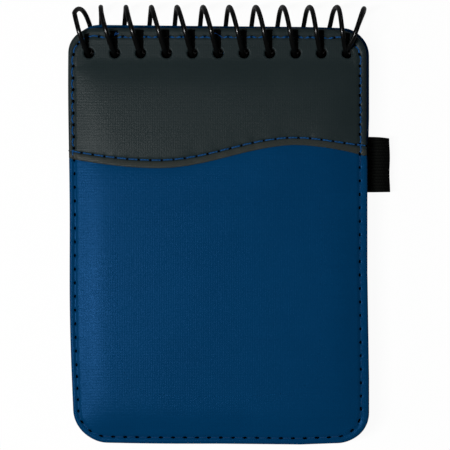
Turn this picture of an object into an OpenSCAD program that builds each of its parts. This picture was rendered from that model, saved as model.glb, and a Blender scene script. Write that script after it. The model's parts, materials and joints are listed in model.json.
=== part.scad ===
// Pocket notebook: a top-bound spiral jotter with padded leatherette covers, a wave-edged band
// across the front, stitched edges and an elastic pen loop.
// X runs across the covers, +Y towards the coil and +Z out of the front cover. The origin is
// under the middle of the closed notebook, on the surface that it lies on.

/* [Covers] */
// Width of each cover
cover_w = 89; // [76:1:110]
// Length of each cover, from the coil end to the foot
cover_l = 124; // [100:1:150]
// Corner radius at the coil end
top_r = 6.8; // [4:0.2:8]
// Corner radius at the foot
foot_r = 9.8; // [6:0.2:14]
// Radius of the rolled rim
rim_r = 0.5; // [0.2:0.1:0.6]
// Thickness of the leatherette
skin_t = 0.35; // [0.25:0.05:0.5]
// Thickness of the stiffening board
board_t = 0.7; // [0.6:0.1:1.2]
// Thickness of the lining paper
lining_t = 0.25; // [0.1:0.05:0.25]
// Width of the leatherette hem, turned in over the board
hem_w = 5; // [3:0.5:5.5]

/* [Padding] */
// Height of the foam's crown above the flat rim
foam_t = 1.3; // [0.6:0.1:1.8]
// Distance over which the foam rises to its crown
foam_run = 11; // [6:1:16]
// Flat rim left beside the foam
foam_margin = 3; // [2.8:0.1:5]
// Flat strip left between the hole line and the foam
foam_strip = 3; // [2.5:0.5:6]

/* [Band] */
// Thickness of the band
band_t = 0.35; // [0.25:0.05:0.5]
// Mean depth of the band, from the coil end of the cover
band_depth = 38.4; // [30:0.2:50]
// Height of the wave on each side of the mean
wave_h = 3.45; // [1:0.05:5]
// Distance from the wave's trough to its crest
wave_run = 42.4; // [30:0.2:60]
// The same distance on the other side of the trough
wave_lead = 59; // [40:1:80]
// Place of the trough, left of the middle
trough_x = 18; // [10:0.5:24]

/* [Stitching] */
// Seam's distance from the left edge
seam_left = 1.6; // [1.4:0.1:2.4]
// Seam's distance from the right edge
seam_right = 2.4; // [1.4:0.1:2.4]
// Seam's distance from the coil end
seam_top = 2.7; // [1.4:0.1:3.5]
// Seam's distance from the foot
seam_foot = 1.9; // [1.4:0.1:2.4]
// Distance between needle holes
stitch_pitch = 3.7; // [3.5:0.1:5]
// Length of one stitch
stitch_l = 2.4; // [1.6:0.1:2.6]
// Width of the thread
thread_w = 0.5; // [0.3:0.05:0.6]
// Height of the thread on the leatherette
thread_h = 0.2; // [0.1:0.05:0.3]
// Distance of the band's seam from its waved edge
band_seam = 2.45; // [1.5:0.05:4]

/* [Paper] */
// Number of sheets
sheet_count = 40; // [30:1:44]
// Thickness of one sheet
sheet_t = 0.1; // [0.08:0.01:0.12]
// Margin of cover left beside the sheets
sheet_side = 3.25; // [2.5:0.25:4]
// Margin of cover left past the foot of the sheets
sheet_foot = 4; // [3:0.5:20]
// Corner radius of the sheets
sheet_r = 5; // [2:0.5:8]
// Paper left between the hole line and the top edge
sheet_edge = 5.2; // [4:0.1:5.4]

/* [Binding] */
// Number of holes
hole_count = 11; // [7:1:11]
// Distance from the cover's sides to the first and last holes
hole_side = 6.2; // [5.6:0.1:9]
// Radius of the holes
hole_r = 1.6; // [1.58:0.01:1.9]
// Distance from the hole line to the cover's top edge
cover_edge = 7.66; // [7.2:0.02:8]
// Radius of the coil, to the middle of the wire
coil_r = 7.4; // [7.3:0.1:8.5]
// Thickness of the wire
wire_d = 1.3; // [0.9:0.1:1.3]
// How far the wire stands left of the middle of its hole
wire_lean = 0.35; // [0:0.05:0.4]
// Sideways set of the two end turns
end_lean = 2; // [1:0.1:2.2]

/* [Pen loop] */
// Width of the elastic
loop_w = 16; // [10:1:25]
// Outer radius of the loop
loop_r = 3.1; // [2.6:0.1:3.2]
// Thickness of the elastic
elastic_t = 0.7; // [0.5:0.1:0.9]
// Length of elastic held in the cover's edge
tab_l = 8; // [6:0.5:12]
// Distance from the coil end of the cover to the loop's middle
loop_drop = 41.2; // [28:0.2:80]

/* [Fits] */
// Gap between layers that are glued or sewn together
fit = 0.02; // [0.02:0.01:0.04]
// Air between one sheet and the next
sheet_gap = 0.02; // [0.01:0.01:0.03]
// Play of the paper between the covers
stack_play = 0.2; // [0.15:0.05:0.4]
// Gap left between the covers when the front one is turned right over
turn_gap = 0.3; // [0.3:0.05:0.5]

/* [Hidden] */
LEAVES = 10; // sheets that turn one by one; the rest lie in the block

film = 0.01; // slice of an outline that a hull runs through
over = 1; // run of a cut past the faces that it opens
crown_steps = 6;
rim_steps = 3;
ring_angle = 18; // angle between two rings of the coil's wire
wire_sides = 8;

royal_blue = [0.03, 0.2, 0.42];
charcoal = [0.17, 0.18, 0.19];
thread_blue = [0.09, 0.32, 0.66];
black = [0.05, 0.05, 0.06];
greyboard = [0.6, 0.58, 0.54];
foam_white = [0.92, 0.91, 0.87];
paper_white = [0.97, 0.97, 0.94];

// Heights in a cover, counted outward from its inner face
board_z = skin_t + fit;
case_z = board_z + board_t + fit; // underside of the outer leatherette
case_t = case_z + skin_t;
front_t = case_t + fit + band_t;

pitch = (cover_w - 2 * hole_side) / (hole_count - 1);

// Heights about the coil's axis. The covers stand so that the front one passes the back one
// when it is turned right over.
sheet_pitch = sheet_t + sheet_gap;
stack_t = sheet_count * sheet_pitch + stack_play;
front_in = (stack_t - front_t - turn_gap) / 2;
back_in = front_in - stack_t;
front_mid = front_in + front_t / 2;
back_mid = back_in - case_t / 2;

// The wire's angle where it crosses a height: 0 is the coil's far side, 90 its top
function wire_angle(z) = 180 - asin(z / coil_r);
// Where a layer's hole line lies, so that the wire runs through the middle of its holes
function layer_x(z) = pitch * (wire_angle(z) - wire_angle(front_mid)) / 360;
function layer_y(z) = -sqrt(coil_r * coil_r - z * z);
function hole_x(k) = (k - (hole_count - 1) / 2) * pitch;
function ease(t) = let (u = min(max(t, 0), 1)) u * u * (3 - 2 * u);

// The whole notebook's extent about the coil's axis, which sets the origin
back_edge_x = layer_x(back_mid) + cover_w / 2;
loop_x = back_edge_x + fit + loop_r;
wire_reach = coil_r + wire_d / 2;
left_x = -cover_w / 2;
right_x = loop_x + loop_r;
foot_y = layer_y(front_mid) + cover_edge - cover_l;

// ---------------------------------------------------------------- frames of the layers

module at_axis() translate([-(left_x + right_x) / 2, -(foot_y + wire_reach) / 2, wire_reach]) children();

// A cover's own frame: the hole line on y = 0, the inner face on z = 0, +Z outward
module at_front() at_axis() translate([0, layer_y(front_mid), front_in]) children();
module at_back() at_axis()
    translate([layer_x(back_mid), layer_y(back_mid), back_in]) mirror([0, 0, 1]) children();

// ---------------------------------------------------------------- shapes that repeat

// Corners of a rounded rectangle, anticlockwise from the right of the coil end: centre, radius and
// first angle of each
function corners(x0, x1, y0, y1, top_r, foot_r) = [
    [[x1 - top_r, y1 - top_r], top_r, 0], [[x0 + top_r, y1 - top_r], top_r, 90],
    [[x0 + foot_r, y0 + foot_r], foot_r, 180], [[x1 - foot_r, y0 + foot_r], foot_r, 270]];
function on_turn(corner, a) = corner[0] + corner[1] * [cos(corner[2] + a), sin(corner[2] + a)];

module posts(corners) for (c = corners) translate(c[0]) circle(c[1], $fn = 32);
module outline(corners) {
    polygon([for (c = corners, a = [0, 90]) on_turn(c, a)]);
    posts(corners);
}

function cover_corners(inset = 0) = corners(
    inset - cover_w / 2, cover_w / 2 - inset, cover_edge - cover_l + inset, cover_edge - inset,
    max(top_r - inset, 1), max(foot_r - inset, 1));
function foam_corners(inset = 0) = let (side = foam_margin + inset) corners(
    side - cover_w / 2, cover_w / 2 - side, cover_edge - cover_l + side, -foam_strip - inset,
    max(top_r - side, 1), max(foot_r - side, 1));

module holes_2d() for (k = [0 : hole_count - 1]) translate([hole_x(k), 0]) circle(hole_r, $fn = 32);
module holes() translate([0, 0, -over]) linear_extrude(front_t + 2 * over) holes_2d();

module slice(z) translate([0, 0, z - film]) linear_extrude(film) children();

// A cover's flat body with a rolled rim, from the inner face up to case_t
module flat_body(grow = 0)
    hull() for (j = [0 : rim_steps]) let (turn = 90 * j / rim_steps, inset = rim_r * (1 - cos(turn))) {
        slice(rim_r * (1 - sin(turn)) + film) posts(cover_corners(inset - grow));
        slice(case_t - rim_r * (1 - sin(turn))) posts(cover_corners(inset - grow));
    }

// The padding's crown, rising on a quarter of an ellipse
function crown_inset(j) = foam_run * (1 - cos(90 * j / crown_steps));
function crown_rise(j) = foam_t * sin(90 * j / crown_steps);
function crown_height(inset) =
    lookup(inset, [for (j = [0 : crown_steps]) [crown_inset(j), crown_rise(j)]]);

module crown(base, root, grow = 0)
    hull() {
        slice(root + film) posts(foam_corners(-grow));
        for (j = [0 : crown_steps]) slice(max(base + crown_rise(j), root + film))
            posts(foam_corners(crown_inset(j) - grow));
    }

module padded_body(grow = 0) {
    flat_body(grow);
    crown(case_t, case_z, grow);
}

// ---------------------------------------------------------------- layers of a cover

// Leatherette: outer face, rolled edge and the hem that is turned in over the board
module skin() difference() {
    padded_body();
    translate([0, 0, skin_t]) linear_extrude(case_z - skin_t) outline(cover_corners(skin_t));
    crown(case_z, skin_t + fit);
    translate([0, 0, -over]) linear_extrude(over + skin_t + fit) outline(cover_corners(hem_w));
    holes();
}

module foam() crown(case_z - fit, case_z, -fit);

module board() translate([0, 0, board_z])
    linear_extrude(board_t) difference() { outline(cover_corners(skin_t + fit)); holes_2d(); }

module lining() translate([0, 0, skin_t - lining_t])
    linear_extrude(lining_t) difference() { outline(cover_corners(hem_w + fit)); holes_2d(); }

// ---------------------------------------------------------------- seams

// One stitch laid between two needle holes
module stitch(from, to) {
    run = to - from;
    half = (stitch_l - thread_w) / 2;
    translate((from + to) / 2) rotate([0, -asin(run.z / norm(run)), atan2(run.y, run.x)])
        linear_extrude(thread_h) {
            square([2 * half, thread_w], center = true);
            for (side = [-1, 1]) translate([side * half, 0]) circle(d = thread_w, $fn = 16);
        }
}

// Needle holes round a quarter turn, and between two corners
function turn_points(corner) = let (n = max(1, round(corner[1] * PI / 2 / stitch_pitch)))
    [for (i = [0 : n]) on_turn(corner, 90 * i / n)];
function run_points(from, to) = let (n = max(2, round(norm(to - from) / stitch_pitch)))
    [for (i = [1 : n - 1]) from + (to - from) * i / n];

// Needle holes all round a cover, whose seam stands at its own distance from each side
edge_seam =
    let (
        seam_corners = corners(seam_left - cover_w / 2, cover_w / 2 - seam_right,
            cover_edge - cover_l + seam_foot, cover_edge - seam_top, top_r - seam_left, foot_r - seam_left)
    )
    [for (k = [0 : 3]) let (here = seam_corners[k], next = seam_corners[(k + 1) % 4])
        each concat(turn_points(here), run_points(on_turn(here, 90), on_turn(next, 0)))];

function wave_y(x) =
    let (run = x < -trough_x ? wave_lead : wave_run)
    cover_edge - band_depth - wave_h * cos(180 * (x + trough_x) / run);

// Height of the cover's face under a stitch: the band lifts it, and so does the foam
function on_band(p) = p.y + stitch_l / 2 > wave_y(p.x);
function foam_depth(p) = min(cover_w / 2 - foam_margin - abs(p.x), -foam_strip - p.y);

module edge_stitching(banded) {
    for (i = [0 : len(edge_seam) - 1]) {
        from = edge_seam[i];
        to = edge_seam[(i + 1) % len(edge_seam)];
        face = case_t + fit + (banded && on_band((from + to) / 2) ? band_t + fit : 0);
        stitch([from.x, from.y, face], [to.x, to.y, face]);
    }
}

// ---------------------------------------------------------------- the band

module band_area() {
    reach = cover_w / 2 + over;
    steps = 48;
    polygon(concat([[reach, cover_edge + over], [-reach, cover_edge + over]],
        [for (i = [0 : steps]) let (x = reach * (2 * i / steps - 1)) [x, wave_y(x)]]));
}

module band() intersection() {
    linear_extrude(case_t + foam_t + band_t + over) band_area();
    difference() {
        translate([0, 0, fit + band_t]) padded_body();
        translate([0, 0, fit]) padded_body(fit);
        translate([0, 0, -over]) linear_extrude(case_t - rim_r + over) outline(cover_corners(-over));
        holes();
    }
}

module band_seam_stitches() {
    reach = cover_w / 2 - seam_right - stitch_l;
    n = round(2 * reach / stitch_pitch);
    points = [for (i = [0 : n]) let (x = reach * (2 * i / n - 1), y = wave_y(x) + band_seam)
        [x, y, front_t + 2 * fit + crown_height(max(foam_depth([x, y]), 0))]];
    for (i = [0 : n - 1]) stitch(points[i], points[i + 1]);
}

// ---------------------------------------------------------------- paper

function sheet_z(i) = front_in - stack_play / 4 - (i + 1) * sheet_pitch; // underside of a sheet
sheet_corners = corners(sheet_side - cover_w / 2, cover_w / 2 - sheet_side,
    cover_edge - cover_l + sheet_foot, sheet_edge, sheet_r, sheet_r);

module sheet(i) {
    mid = sheet_z(i) + sheet_t / 2;
    at_axis() translate([layer_x(mid), layer_y(mid), sheet_z(i)]) linear_extrude(sheet_t)
        difference() { outline(sheet_corners); holes_2d(); }
}

module leaf(n) color(paper_white) sheet(n - 1);
module sheet_block() color(paper_white) for (i = [LEAVES : sheet_count - 1]) sheet(i);

// ---------------------------------------------------------------- the coil

turn_total = 360 * hole_count;
coil_start = -126; // the first end, bent in behind the first hole
coil_end = turn_total + 144; // the last end, bent back over the last hole

// The end turns lean outward and then close: the bends that lock the coil in its holes. Each bend
// grows between two angles of the coil, which are counted from the last hole at the far end.
first_lean = [150, 35];
first_shut = [45, -85];
last_lean = [-150, -35];
last_shut = [-45, 140];
first_close = 6.8; // how far each shut end comes back along the coil
last_close = 8.2;
function bend(a, span) = ease((a - span[0]) / (span[1] - span[0]));
function coil_x(a) =
    let (b = a - turn_total)
    hole_x(0) - wire_lean + pitch * (a - wire_angle(front_mid)) / 360
        - end_lean * bend(a, first_lean) + first_close * bend(a, first_shut)
        + end_lean * bend(b, last_lean) - last_close * bend(b, last_shut);

function ring_centre(a) = [coil_x(a), coil_r * cos(a), coil_r * sin(a)];

// Points round the wire at one angle of the coil, square to the way it runs
function wire_ring(a) =
    let (
        out = [0, cos(a), sin(a)],
        run = ring_centre(a + 1) - ring_centre(a - 1),
        side = cross(run / norm(run), out)
    )
    [for (s = [0 : wire_sides - 1]) let (t = 360 * s / wire_sides)
        ring_centre(a) + wire_d / 2 * (out * cos(t) + side * sin(t))];

module binding_coil() {
    rings = [for (a = [coil_start : ring_angle : coil_end]) wire_ring(a)];
    last = len(rings) - 1;
    walls = [for (r = [0 : last - 1], s = [0 : wire_sides - 1])
        let (next = (s + 1) % wire_sides, low = r * wire_sides, high = low + wire_sides)
        each [[low + s, low + next, high + s], [low + next, high + next, high + s]]];
    ends = [[for (s = [wire_sides - 1 : -1 : 0]) s], [for (s = [0 : wire_sides - 1]) last * wire_sides + s]];
    color(black) at_axis() polyhedron([for (r = rings) each r], concat(walls, ends));
}

// ---------------------------------------------------------------- the pen loop

loop_y = cover_edge - loop_drop;
loop_z = board_z + board_t / 2;

// The elastic's ends, pressed flat where the board is cut away for them
module tab(grow = 0) {
    reach = fit + elastic_t / 2;
    translate([cover_w / 2 - tab_l - grow, loop_y - loop_w / 2 - grow, board_z + fit - grow])
        cube([tab_l + reach + grow, loop_w + 2 * grow, board_t - 2 * fit + 2 * grow]);
}

module pen_loop() color(black) at_back() difference() {
    union() {
        tab();
        translate([cover_w / 2 + fit + loop_r, loop_y - loop_w / 2, loop_z])
            rotate([-90, 0, 0]) cylinder(r = loop_r, h = loop_w, $fn = 64);
    }
    translate([cover_w / 2 + fit + loop_r, loop_y - loop_w / 2 - over, loop_z])
        rotate([-90, 0, 0]) cylinder(r = loop_r - elastic_t, h = loop_w + 2 * over, $fn = 64);
}

// ---------------------------------------------------------------- the covers

module back_cover_skin() color(royal_blue) at_back() difference() { skin(); tab(fit); }
module back_cover_foam() color(foam_white) at_back() foam();
module back_cover_board() color(greyboard) at_back() difference() { board(); tab(2 * fit); }
module back_cover_lining() color(paper_white) at_back() lining();
module back_cover_stitching() color(thread_blue) at_back() edge_stitching(false);

module front_cover_skin() color(royal_blue) at_front() skin();
module front_cover_foam() color(foam_white) at_front() foam();
module front_cover_board() color(greyboard) at_front() board();
module front_cover_lining() color(paper_white) at_front() lining();
module front_cover_stitching() color(thread_blue) at_front() edge_stitching(true);
module front_cover_band() color(charcoal) at_front() band();
module band_stitching() color(thread_blue) at_front() band_seam_stitches();

binding_coil();
pen_loop();
back_cover_skin();
back_cover_foam();
back_cover_board();
back_cover_lining();
back_cover_stitching();
sheet_block();
leaf(1);  // leaf_1
leaf(2);  // leaf_2
leaf(3);  // leaf_3
leaf(4);  // leaf_4
leaf(5);  // leaf_5
leaf(6);  // leaf_6
leaf(7);  // leaf_7
leaf(8);  // leaf_8
leaf(9);  // leaf_9
leaf(10);  // leaf_10
front_cover_skin();
front_cover_foam();
front_cover_board();
front_cover_lining();
front_cover_stitching();
front_cover_band();
band_stitching();
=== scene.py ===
# %% [markdown]
# # A pocket notebook
# The jotter has two padded covers of blue leatherette, a charcoal band with a waved edge, bright blue
# stitching, a black wire coil and an elastic pen loop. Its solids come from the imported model, which is
# loaded first as a fixed frame. Every piece made here takes its place from that frame.

# %% The frame
import json
import math

import bpy
import numpy as np
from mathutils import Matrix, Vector
from mathutils.geometry import delaunay_2d_cdt


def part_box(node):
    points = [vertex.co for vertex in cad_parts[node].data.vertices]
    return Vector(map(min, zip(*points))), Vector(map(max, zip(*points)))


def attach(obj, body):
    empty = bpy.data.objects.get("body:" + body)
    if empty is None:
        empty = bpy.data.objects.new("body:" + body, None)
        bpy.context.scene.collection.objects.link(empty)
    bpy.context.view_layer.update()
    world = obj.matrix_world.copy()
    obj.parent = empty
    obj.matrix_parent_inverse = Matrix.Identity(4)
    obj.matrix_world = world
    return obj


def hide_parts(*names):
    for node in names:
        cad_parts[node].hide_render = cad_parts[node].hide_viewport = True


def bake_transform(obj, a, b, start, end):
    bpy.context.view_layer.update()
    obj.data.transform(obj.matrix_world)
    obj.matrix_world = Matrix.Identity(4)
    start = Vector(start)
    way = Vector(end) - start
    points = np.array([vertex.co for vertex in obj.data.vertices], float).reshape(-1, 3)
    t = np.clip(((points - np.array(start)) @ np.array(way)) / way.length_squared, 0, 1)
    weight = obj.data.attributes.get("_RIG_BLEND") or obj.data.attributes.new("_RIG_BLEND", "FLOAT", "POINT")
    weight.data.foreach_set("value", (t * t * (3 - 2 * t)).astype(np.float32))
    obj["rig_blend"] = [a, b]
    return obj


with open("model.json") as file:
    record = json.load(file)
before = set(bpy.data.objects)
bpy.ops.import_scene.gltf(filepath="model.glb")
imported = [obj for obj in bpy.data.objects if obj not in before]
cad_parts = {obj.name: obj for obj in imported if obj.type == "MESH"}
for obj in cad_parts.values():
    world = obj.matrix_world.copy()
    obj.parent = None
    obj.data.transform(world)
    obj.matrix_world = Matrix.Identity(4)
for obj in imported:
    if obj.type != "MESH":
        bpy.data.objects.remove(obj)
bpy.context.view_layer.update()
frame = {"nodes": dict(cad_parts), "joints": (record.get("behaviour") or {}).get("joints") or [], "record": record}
MM = 0.001

# %% [markdown]
# ## Sizes
# Lengths are in millimetres. Each cover has a frame of its own: x across it, y up to the coil with the
# hole line on y = 0, and z outward from its inner face. A shape is drawn there once, and then set on the
# front or the back cover.

# %% Sizes of the covers
skin_t = 0.35
board_t = 0.7
layer_gap = 0.02  # between two layers that lie on each other
case_t = 2 * skin_t + board_t + 2 * layer_gap  # height of a cover's flat rim
band_t = 0.35
hem_w = 5
pad_rise = 1.3
pad_run = 12
pad_strip = 3  # flat strip between the hole line and the padding
roll_r = 0.55  # of the rolled edge, where the flat face ends

hole_count = 11
hole_r = 1.6
hole_side = 6.2
cover_edge = 7.66  # from the hole line to the top edge


def box(node):
    low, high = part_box(node)
    return np.array(low) / MM, np.array(high) / MM


front_low, front_high = box("front_cover_skin")
back_low, back_high = box("back_cover_skin")
cover_w = front_high[0] - front_low[0]
cover_l = front_high[1] - front_low[1]
pitch = (cover_w - 2 * hole_side) / (hole_count - 1)
hole_xs = [(k - (hole_count - 1) / 2) * pitch for k in range(hole_count)]

# A cover's frame: its origin in the object, and which way is outward
front = {"name": "front", "body": "front_cover", "out": 1,
         "at": np.array([(front_low[0] + front_high[0]) / 2, front_high[1] - cover_edge, front_low[2]])}
back = {"name": "back", "body": "back", "out": -1,
        "at": np.array([(back_low[0] + back_high[0]) / 2, back_high[1] - cover_edge, back_high[2]])}
sides = (-cover_w / 2, cover_w / 2, cover_edge - cover_l, cover_edge)
corner_r = (7.6, 7.5, 10.0, 9.4)  # right and left of the coil end, left and right of the foot
print("cover", round(cover_w, 2), "by", round(cover_l, 2), "mm, holes every", round(pitch, 2))

# %% [markdown]
# ## Covers sewn by hand
# No sewn cover is a true rectangle. Both narrow a little towards the foot on the left, their corners are
# cut by eye, and the front one's top edge falls away to the right. Two formulas say how far each point
# of a cover is moved for that. They work from `grow`, which rises evenly from 0 to 1 between two places.

# %% Moves of a hand-sewn cover
def grow(value, start, end):
    """0 up to the start, 1 from the end on, and even between them, whichever way they lie."""
    return np.clip((value - start) / (end - start), 0, 1)


def moved_across(x, y, cover):
    """How far a point stands to the right of its place in a true rectangle."""
    leftness = grow(x, cover_w / 2, -cover_w / 2)
    narrowed = 1.1 * leftness * (np.maximum(-28 - y, 0) / 75) ** 1.8
    wavering = 0.19 * leftness ** 3 * np.cos(2 * np.pi * (y + 8) / 72)
    corner = grow(x, 36, 44) * grow(y, -1, 7)
    if cover is back:
        right_side = 0.35 + 0.5 * grow(y, -20, -40)
        shifted = grow(np.abs(x), 40.4, 44.4) * np.where(x > 0, right_side, 0.9)
        return narrowed - wavering - shifted - 0.75 * corner
    drawn_in_side = grow(x, 42.3, 44.5) * (0.15 + 0.35 * grow(y, -33, -25))
    let_out = 0.5 * grow(x, 38, 44) * grow(y, -65, -97)
    return narrowed - wavering - drawn_in_side + let_out - 0.4 * corner


def moved_along(x, y, cover):
    """How far a point stands nearer the coil than its place in a true rectangle."""
    at_top, at_foot = grow(y, 3.5, 7.5), grow(y, -100, -115)
    left_rise = (0.25 + 0.45 * grow(x, -10, -40) ** 2) * grow(x, 25, 0)
    risen = at_foot * (left_rise + 0.4 * grow(x, 24, 35))
    corner = grow(x, 36, 44) * grow(y, -1, 7)
    falling = np.clip(x / 40, 0, 1.1) ** 5 * grow(y, 0, cover_edge)
    if cover is back:
        tilted = (0.08 - np.where(x > 0, 0.24, 0.35) * x / 32) * at_top
        return risen + tilted - 0.3 * corner - 0.45 * falling
    return risen - 0.15 * at_top - 0.15 * corner - falling


for cover in (front, back):
    corner_x, corner_y = np.array([sides[0], sides[1]]), np.array([sides[2], sides[3]])
    print(cover["name"], "cover's corners move by", moved_across(corner_x, corner_y, cover).round(2),
          "across and", moved_along(corner_x, corner_y, cover).round(2), "mm along")

# %% [markdown]
# ## Meshes from points
# Python works out the points of each surface, and these helpers turn them into Blender meshes. The back
# cover is the front one turned over, so its faces are wound the other way to keep pointing outward.

# %% Mesh helpers
def place(points, cover):
    """Points of a cover's own frame, in metres in the object's frame."""
    out = np.array(points, float)
    x, y = out[:, 0].copy(), out[:, 1].copy()
    out[:, 0] += moved_across(x, y, cover)
    out[:, 1] += moved_along(x, y, cover)
    return (out * [1, 1, cover["out"]] + cover["at"]) * MM


def made_object(name, points, faces, material, flip=False):
    mesh = bpy.data.meshes.new(name)
    if flip:
        faces = [tuple(reversed(face)) for face in faces]
    mesh.from_pydata([tuple(p) for p in points], [], [tuple(face) for face in faces])
    mesh.shade_smooth()
    mesh.materials.append(material)
    piece = bpy.data.objects.new(name, mesh)
    bpy.context.scene.collection.objects.link(piece)
    return piece


def plain_mesh(piece):
    """A mesh of its own, with the piece's modifiers worked into it."""
    depsgraph = bpy.context.evaluated_depsgraph_get()
    return bpy.data.meshes.new_from_object(piece.evaluated_get(depsgraph), depsgraph=depsgraph)


def thickened(piece, thickness, edge_finish=None, offset=-1):
    """Gives a sheet its thickness, inwards, and if asked its own finish along the cut edges."""
    wall = piece.modifiers.new("wall", "SOLIDIFY")
    if edge_finish:
        piece.data.materials.append(edge_finish)
        wall.material_offset_rim = 1
    wall.thickness = thickness * MM
    wall.offset = offset
    mesh, sheet = plain_mesh(piece), piece.data
    piece.modifiers.clear()
    piece.data = mesh
    bpy.data.meshes.remove(sheet)
    mesh.name = piece.name


# %% [markdown]
# ## The outline of a cover
# A cover is a rounded rectangle whose four corners differ a little, as they do on a sewn one. The same
# function gives the outer edge, the seam and every ring between, point for point, so that rings can be
# joined. A second function tells how deep inside such an outline a point lies.

# %% Outlines
def rounded(edges, radii, step=0.45, turn_points=24):
    """Points round a rounded rectangle, anticlockwise from the right side of the coil end."""
    x0, x1, y0, y1 = edges
    tr, tl, bl, br = radii
    centres = ((x1 - tr, y1 - tr), (x0 + tl, y1 - tl), (x0 + bl, y0 + bl), (x1 - br, y0 + br))
    runs = (cover_w, cover_l, cover_w, cover_l)
    points = []
    for k in range(4):
        angles = np.radians(90 * k + np.linspace(0, 90, turn_points))
        turn = np.array(centres[k]) + radii[k] * np.stack([np.cos(angles), np.sin(angles)], 1)
        following = (k + 1) % 4
        angle = math.radians(90 * (k + 1))
        to = np.array(centres[following]) + radii[following] * np.array([math.cos(angle), math.sin(angle)])
        count = int(runs[k] / step)
        run = turn[-1] + (to - turn[-1]) * (np.arange(1, count) / count)[:, None]
        points += [turn, run]
    return np.vstack(points)


def inset_outline(insets, step=0.45):
    """The cover's outline drawn in by its own distance on the left, right, foot and coil end."""
    left, right, foot, top = insets
    x0, x1, y0, y1 = sides
    near = min(insets)
    radii = [max(r - near, 0.4) for r in corner_r]
    return rounded((x0 + left, x1 - right, y0 + foot, y1 - top), radii, step)


def depth_inside(x, y, edges, radii):
    """How far a point lies inside a rounded rectangle."""
    x0, x1, y0, y1 = edges
    tr, tl, bl, br = radii
    right, top = x > (x0 + x1) / 2, y > (y0 + y1) / 2
    r = np.where(right, np.where(top, tr, br), np.where(top, tl, bl))
    qx = np.maximum(x0 - x, x - x1) + r
    qy = np.maximum(y0 - y, y - y1) + r
    return r - np.hypot(np.maximum(qx, 0), np.maximum(qy, 0)) - np.minimum(np.maximum(qx, qy), 0)


print("outline of", len(inset_outline((0, 0, 0, 0))), "points round a cover")

# %% [markdown]
# ## The wave
# The band ends in a wave: a trough on the left and a crest on the right. Two cosines that meet in the
# trough draw it, the left one longer. The wave's own seam keeps its distance above the cut edge, and
# turns up a little at its right end.

# %% The wave and its seam
band_depth = 38.4
wave_h = 3.45
trough_x = -18
wave_lead, wave_run = 59, 42.4  # from crest to trough, left and right of the trough
wave_seam_up = 2.35


def wave_y(x):
    x = np.asarray(x, float)
    run = np.where(x < trough_x, wave_lead, wave_run)
    droop = 0.3 * grow(x, 22, 30)
    return cover_edge - band_depth - wave_h * np.cos(math.pi * (x - trough_x) / run) - droop


def wave_seam_y(x):
    return wave_y(x) + wave_seam_up - 0.15 * grow(x, 10, 25) + 0.95 * grow(x, 33, 44) ** 2


wave_ends = wave_y(np.array([trough_x, trough_x + wave_run]))
print("wave from", *wave_ends.round(2), "mm")


# %% [markdown]
# ## The seams
# The edge seam runs 1.6 to 2.7 mm inside the edge, and a second seam follows the wave. The machine's
# stitches are shorter on the band, where the leatherette lies double. A seam is kept as the list of its
# needle holes, which the thread, the dimples and the swelling between them all follow.

# %% Needle holes
seam_insets = (1.6, 2.5, 1.9, 2.7)  # on the left, right, foot and coil end
seam_edges = (sides[0] + seam_insets[0], sides[1] - seam_insets[1],
              sides[2] + seam_insets[2], sides[3] - seam_insets[3])
seam_radii = [r - seam_insets[0] for r in corner_r]
seam_radii[3] -= 1  # the needle took the foot's right corner more sharply
seam_line = inset_outline(seam_insets, 0.3)


def walk(points, stitch):
    """Points a stitch apart along a line, with the stitch eased so that they fit it."""
    lengths = np.hypot(*np.diff(points, axis=0).T)
    along = np.concatenate([[0], np.cumsum(lengths)])
    count = max(1, round(along[-1] / stitch))
    at = np.linspace(0, along[-1], count + 1)
    return np.stack([np.interp(at, along, points[:, i]) for i in (0, 1)], 1)


def edge_needles(banded):
    """The edge seam's needle holes, by stretches with a stitch length of their own."""
    x, y = seam_line.T
    foot = y < seam_edges[2] + max(seam_radii[2:])
    on_band = y > wave_y(x) if banded else np.zeros(len(x), bool)
    left = ~foot & ~on_band & (x < 0)
    right = ~foot & ~on_band & (x > 0)
    band_right = on_band & (x > seam_edges[1] - 0.4) & (y < -4)
    left_low = left & (y < seam_edges[2] + 22)
    stretches = ((band_right, 3.0), (on_band & ~band_right, 3.5), (left & ~left_low, 4.0),
                 (left_low, 3.2), (foot, 3.65), (right, 4.0))
    holes = []
    for part, stitch in stretches:
        if not part.any():
            continue
        found = np.where(part)[0]
        breaks = np.where(np.diff(found) > 1)[0]
        if len(breaks):  # the stretch passes the start of the line
            found = np.concatenate([found[breaks[0] + 1:], found[:breaks[0] + 1]])
        stretch = walk(seam_line[np.append(found, (found[-1] + 1) % len(x))], stitch)
        holes.append(stretch[:-1])
    return np.vstack(holes)


front["needles"] = edge_needles(True)
back["needles"] = edge_needles(False)
wave_x = np.linspace(sides[0] + 0.45, sides[1] - 0.25, 240)
band_needles = walk(np.stack([wave_x, wave_seam_y(wave_x)], 1), 3.42)
print("needle holes:", len(front["needles"]), "front,", len(back["needles"]), "back,",
      len(band_needles), "wave")

# %% [markdown]
# ## The padding, blown up as cloth
# Foam lifts the leatherette between its seams. A cloth simulation finds that shape as a sewn cushion
# does: a flat sheet is held along the edge seam, and on the front cover along the wave's seam too, and
# is blown up from below. How far it may rise is capped softly, because the foam's own thickness stops it.
# The sheet is made ten times too big, since Blender's cloth is tuned for larger things.

# %% Cloth simulation of the pads
pad_margin = 0.3  # from the seam to the pad
pad_edges = (seam_edges[0] + pad_margin, seam_edges[1] - pad_margin,
             seam_edges[2] + pad_margin, -pad_strip)
pad_radii = (4, 4, seam_radii[2] - pad_margin, seam_radii[3] - pad_margin)
pad_gap = 1.4  # between two rows of the cloth's grid
cloth_scale = 0.01
cloth_steps = 20
cap_sharpness = 6


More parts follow.
